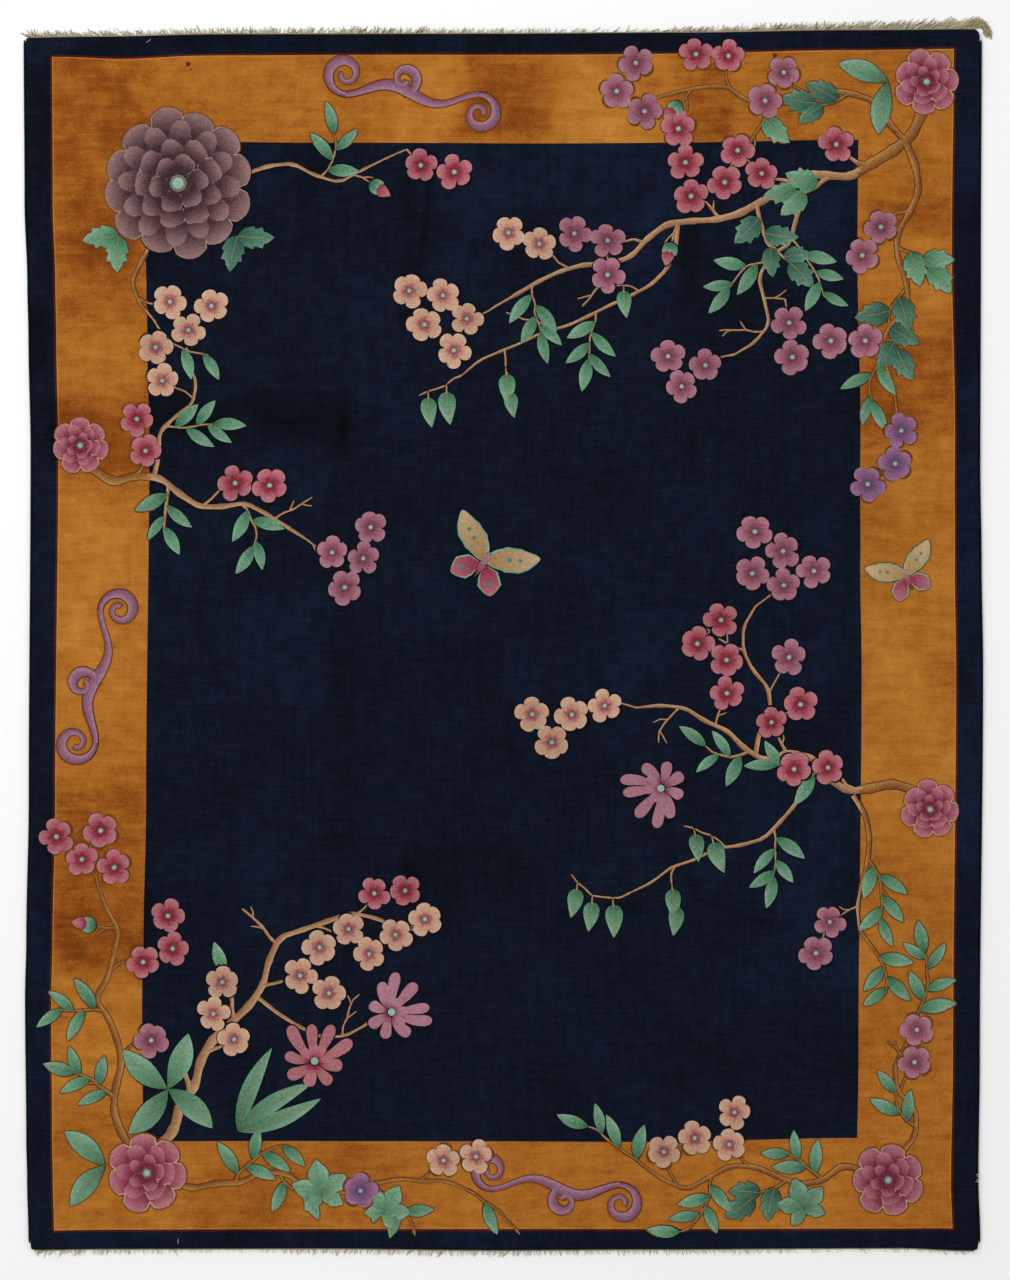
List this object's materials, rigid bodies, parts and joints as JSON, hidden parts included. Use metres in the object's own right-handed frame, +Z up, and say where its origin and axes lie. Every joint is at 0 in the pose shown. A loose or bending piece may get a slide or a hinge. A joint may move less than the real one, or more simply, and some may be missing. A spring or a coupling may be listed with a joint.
{
  "type": "fringed pile carpet",
  "caption": "Flat rectangular room-size pile carpet with a dark field, a gold border, overcast side cords and a short cotton fringe at both ends.",
  "frame": {"origin": "on the floor, under the middle of the box that holds the carpet, its side cords and its fringes", "axes": "+X across the carpet to the right as the picture shows it, +Y along it to the upper end, +Z up through the pile"},
  "size_m": [2.7634, 3.5438, 0.012],
  "materials": {
    "pile": "shorn wool pile, navy field with a gold border, matt with a soft sheen",
    "overcasting": "dark green wool overcasting, matt",
    "warp": "undyed cotton warp, matt"
  },
  "bodies": {
    "root": {"rug": "pile", "selvedge_left": "overcasting", "selvedge_right": "overcasting", "fringe_top": "warp", "fringe_bottom": "warp"}
  },
  "joints": []
}
